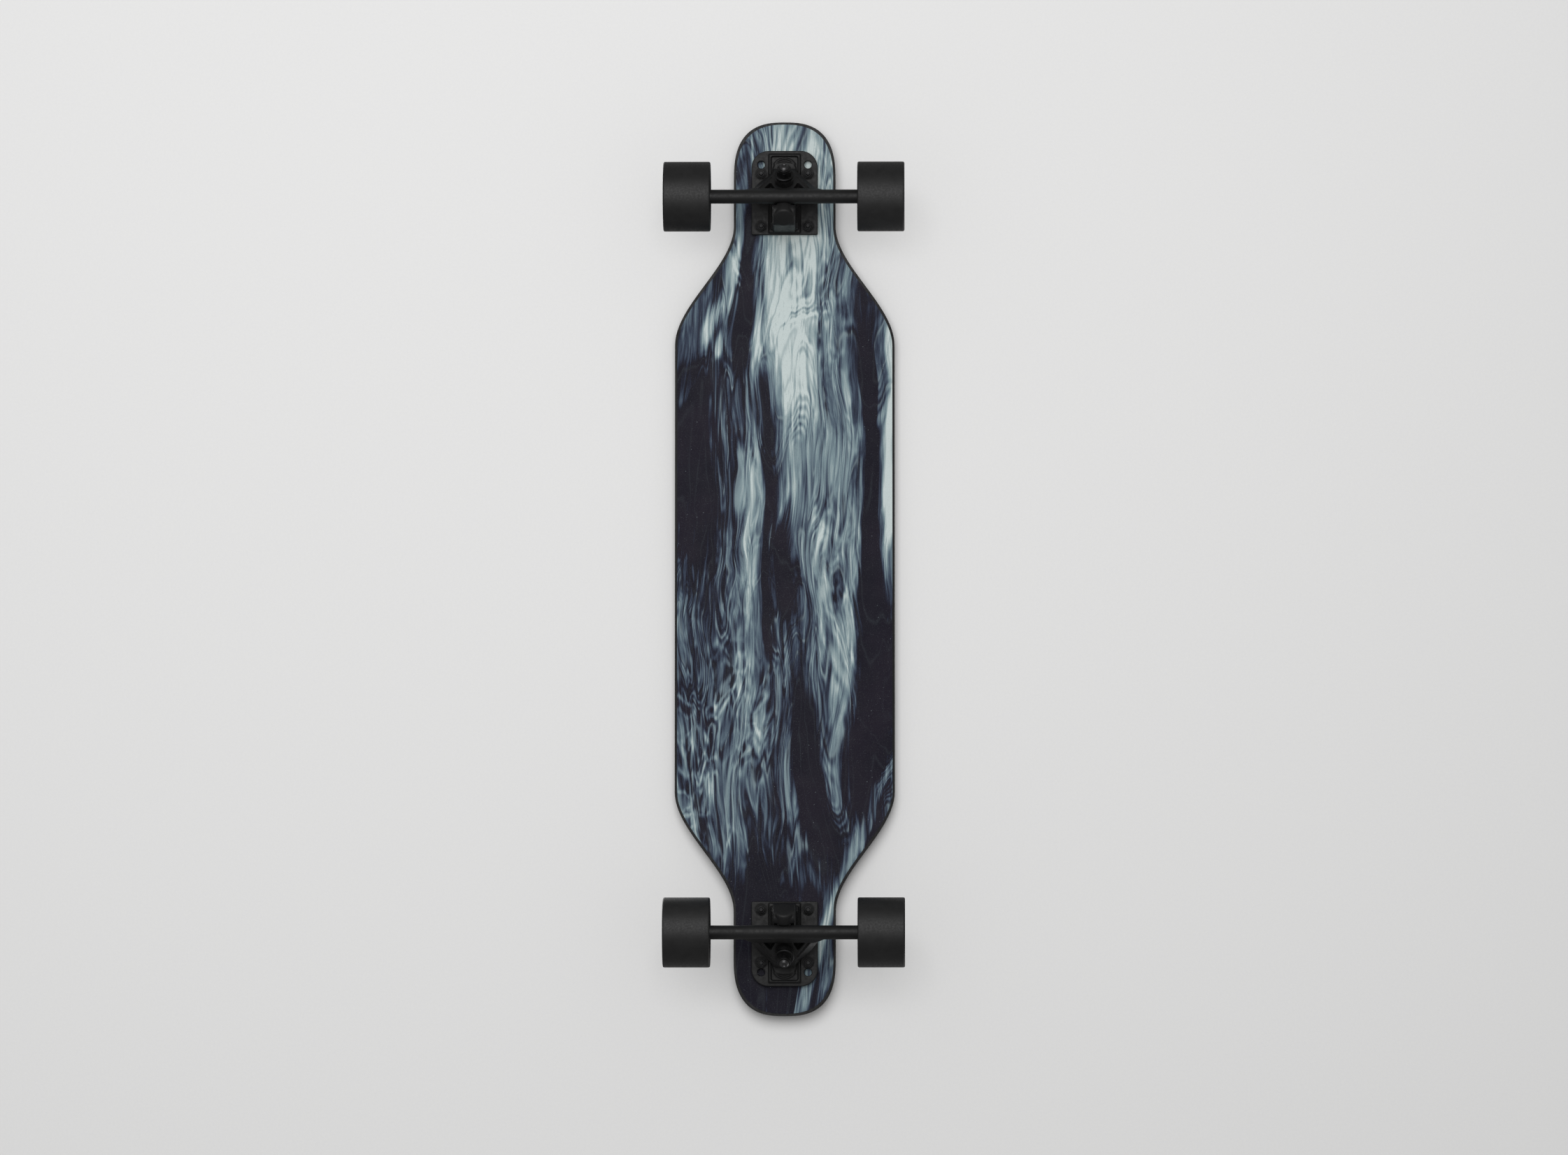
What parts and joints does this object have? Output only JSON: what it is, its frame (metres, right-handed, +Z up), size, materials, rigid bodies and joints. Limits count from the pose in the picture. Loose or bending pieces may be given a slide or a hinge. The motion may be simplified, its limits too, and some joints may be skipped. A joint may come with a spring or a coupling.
{
  "type": "longboard skateboard",
  "caption": "Cut-out longboard deck with reverse-kingpin trucks, leaning steering on urethane bushings and free-rolling wheels; not motorised.",
  "frame": {"origin": "on the ground under the middle of the board, standing on its wheels", "axes": "+X to the nose, +Y to the rider's left when facing the nose, +Z up"},
  "size_m": [0.915, 0.2454, 0.1133],
  "materials": {
    "deck_wood": "black painted edge over maple",
    "grip": "black abrasive grip sheet",
    "print": "satin printed film, marbled slate blue",
    "casting": "satin black",
    "urethane": "matt black urethane",
    "core_plastic": "moulded black",
    "bushing": "satin black urethane",
    "bright_steel": "zinc plated",
    "black_steel": "black oxide"
  },
  "bodies": {
    "deck": {"deck": "deck_wood", "grip_tape": "grip", "bottom_graphic": "print", "deck_bolt_1": "black_steel", "deck_bolt_2": "black_steel", "deck_bolt_3": "black_steel", "deck_bolt_4": "black_steel", "deck_bolt_5": "black_steel", "deck_bolt_6": "black_steel", "deck_bolt_7": "black_steel", "deck_bolt_8": "black_steel", "lock_nut_1": "bright_steel", "lock_nut_2": "bright_steel", "lock_nut_3": "bright_steel", "lock_nut_4": "bright_steel", "lock_nut_5": "bright_steel", "lock_nut_6": "bright_steel", "lock_nut_7": "bright_steel", "lock_nut_8": "bright_steel", "front_baseplate": "casting", "front_pivot_cup": "bushing", "front_kingpin": "bright_steel", "front_boardside_washer": "black_steel", "front_boardside_bushing": "bushing", "front_roadside_bushing": "bushing", "front_roadside_washer": "black_steel", "front_kingpin_nut": "black_steel", "rear_baseplate": "casting", "rear_pivot_cup": "bushing", "rear_kingpin": "bright_steel", "rear_boardside_washer": "black_steel", "rear_boardside_bushing": "bushing", "rear_roadside_bushing": "bushing", "rear_roadside_washer": "black_steel", "rear_kingpin_nut": "black_steel"},
    "front_hanger": {"front_hanger": "casting", "front_axle": "bright_steel", "front_left_axle_nut": "bright_steel", "front_right_axle_nut": "bright_steel"},
    "front_left_wheel": {"front_left_tyre": "urethane", "front_left_core": "core_plastic", "front_left_inner_bearing": "bright_steel", "front_left_outer_bearing": "bright_steel"},
    "front_right_wheel": {"front_right_tyre": "urethane", "front_right_core": "core_plastic", "front_right_inner_bearing": "bright_steel", "front_right_outer_bearing": "bright_steel"},
    "rear_hanger": {"rear_hanger": "casting", "rear_axle": "bright_steel", "rear_left_axle_nut": "bright_steel", "rear_right_axle_nut": "bright_steel"},
    "rear_left_wheel": {"rear_left_tyre": "urethane", "rear_left_core": "core_plastic", "rear_left_inner_bearing": "bright_steel", "rear_left_outer_bearing": "bright_steel"},
    "rear_right_wheel": {"rear_right_tyre": "urethane", "rear_right_core": "core_plastic", "rear_right_inner_bearing": "bright_steel", "rear_right_outer_bearing": "bright_steel"}
  },
  "joints": [
    {"name": "front_steer", "type": "hinge", "parent": "deck", "child": "front_hanger", "pos_m": [0.3891, 0, 0.0645], "axis": [0.7431, 0, 0.6691], "range_deg": [-15, 15], "stiffness_Nm_per_rad": 60, "deforming": ["front_boardside_bushing", "front_roadside_bushing"]},
    {"name": "front_left_spin", "type": "hinge", "parent": "front_hanger", "child": "front_left_wheel", "pos_m": [0.3745, 0.0987, 0.0355], "axis": [0, 1, 0], "continuous": true},
    {"name": "front_right_spin", "type": "hinge", "parent": "front_hanger", "child": "front_right_wheel", "pos_m": [0.3745, -0.0987, 0.0355], "axis": [0, 1, 0], "continuous": true},
    {"name": "rear_steer", "type": "hinge", "parent": "deck", "child": "rear_hanger", "pos_m": [-0.3891, 0, 0.0645], "axis": [-0.7431, 0, 0.6691], "range_deg": [-15, 15], "stiffness_Nm_per_rad": 60, "deforming": ["rear_boardside_bushing", "rear_roadside_bushing"]},
    {"name": "rear_left_spin", "type": "hinge", "parent": "rear_hanger", "child": "rear_left_wheel", "pos_m": [-0.3745, 0.0987, 0.0355], "axis": [0, 1, 0], "continuous": true},
    {"name": "rear_right_spin", "type": "hinge", "parent": "rear_hanger", "child": "rear_right_wheel", "pos_m": [-0.3745, -0.0987, 0.0355], "axis": [0, 1, 0], "continuous": true}
  ]
}
